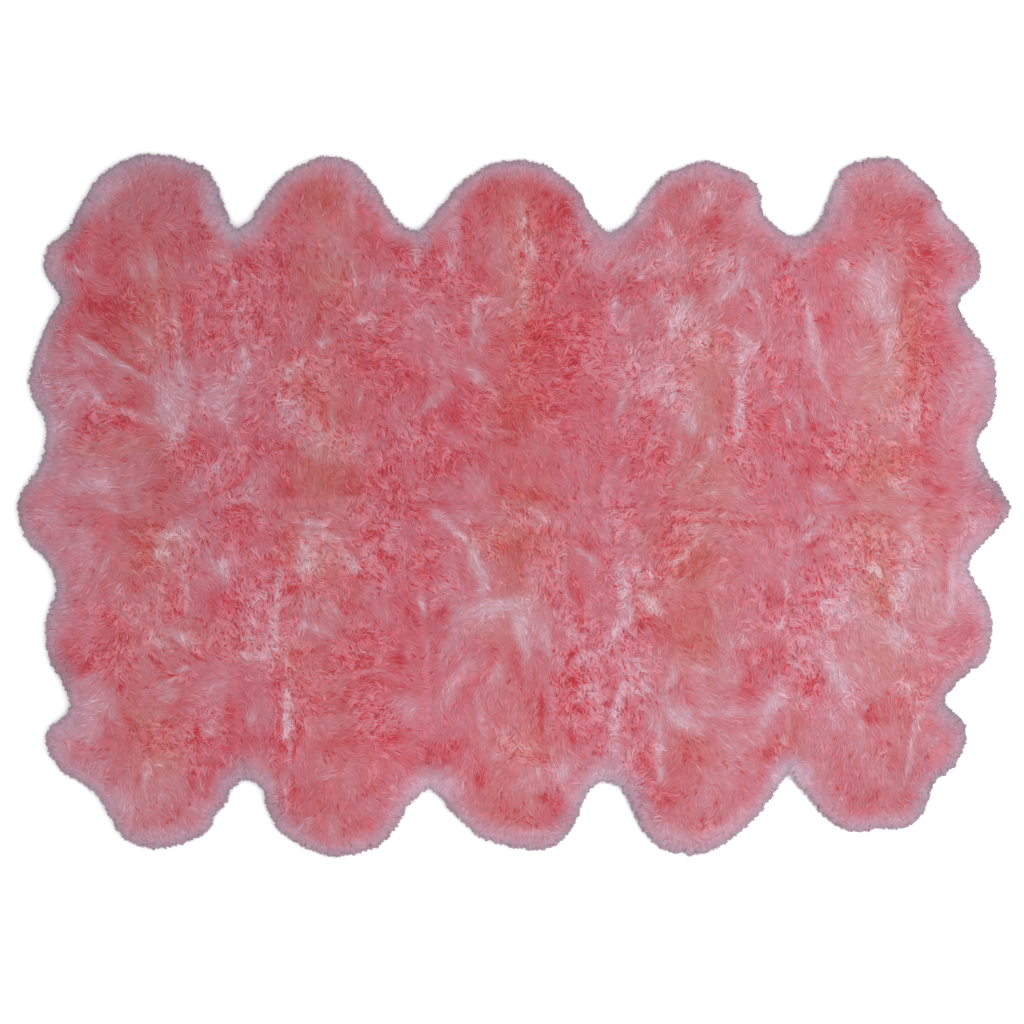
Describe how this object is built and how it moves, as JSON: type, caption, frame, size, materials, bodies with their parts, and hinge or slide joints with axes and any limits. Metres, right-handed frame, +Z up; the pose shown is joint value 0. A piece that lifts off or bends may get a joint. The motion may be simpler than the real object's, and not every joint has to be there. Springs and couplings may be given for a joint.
{
  "type": "sheepskin rug",
  "caption": "Large flat rug of long-wool sheepskins sewn edge to edge in two rows, with a scalloped outline and dyed coral-pink wool.",
  "frame": {"origin": "middle of the rug's bounding box, on the floor under the skins", "axes": "+X along the two rows of pelts, the rug's longest extent; +Y from the front row to the back row; +Z up out of the wool"},
  "size_m": [2.6499, 1.8692, 0.055],
  "materials": {
    "dyed_wool": "long, soft sheep's wool dyed coral pink, with paler tips",
    "tanned_skin": "suede flesh side, tinted pale pink by the dye"
  },
  "bodies": {
    "root": {"pelt_back_1": "dyed_wool", "pelt_back_2": "dyed_wool", "pelt_back_3": "dyed_wool", "pelt_back_4": "dyed_wool", "pelt_back_5": "dyed_wool", "pelt_front_1": "dyed_wool", "pelt_front_2": "dyed_wool", "pelt_front_3": "dyed_wool", "pelt_front_4": "dyed_wool", "pelt_front_5": "dyed_wool"}
  },
  "joints": []
}
